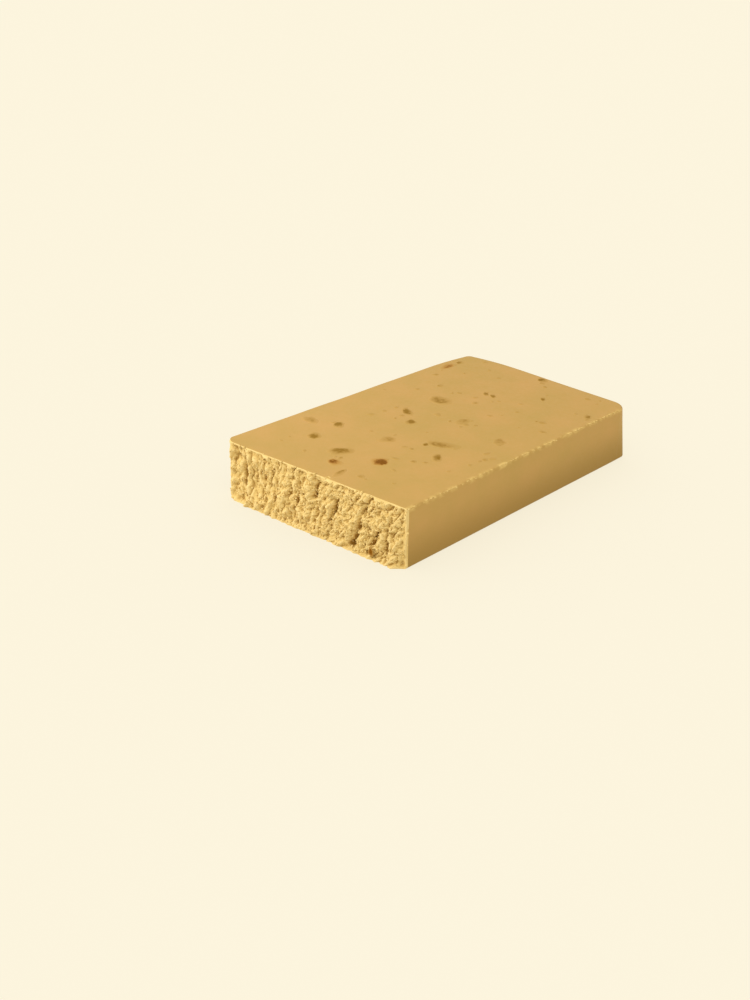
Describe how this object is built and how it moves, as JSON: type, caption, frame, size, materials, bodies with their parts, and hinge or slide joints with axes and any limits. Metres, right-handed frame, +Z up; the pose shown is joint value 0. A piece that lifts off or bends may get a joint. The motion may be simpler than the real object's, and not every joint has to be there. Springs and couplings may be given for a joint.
{
  "type": "soft almond nougat slab",
  "caption": "Flat slab of soft almond nougat with smooth top and sides, one crumbly broken end, and chopped almond bits showing in the top.",
  "frame": {"origin": "middle of the underside of the slab's box", "axes": "+Z up, +Y along the slab away from its broken end, +X across the slab towards its shorter side"},
  "size_m": [0.0802, 0.1306, 0.0217],
  "materials": {
    "nougat": "soft satin paste of almonds and honey, pale golden tan, crumbly where broken",
    "almond": "chopped almond with brown skin, set flush in the paste"
  },
  "bodies": {
    "root": {"nougat_slab": "nougat"}
  },
  "joints": []
}
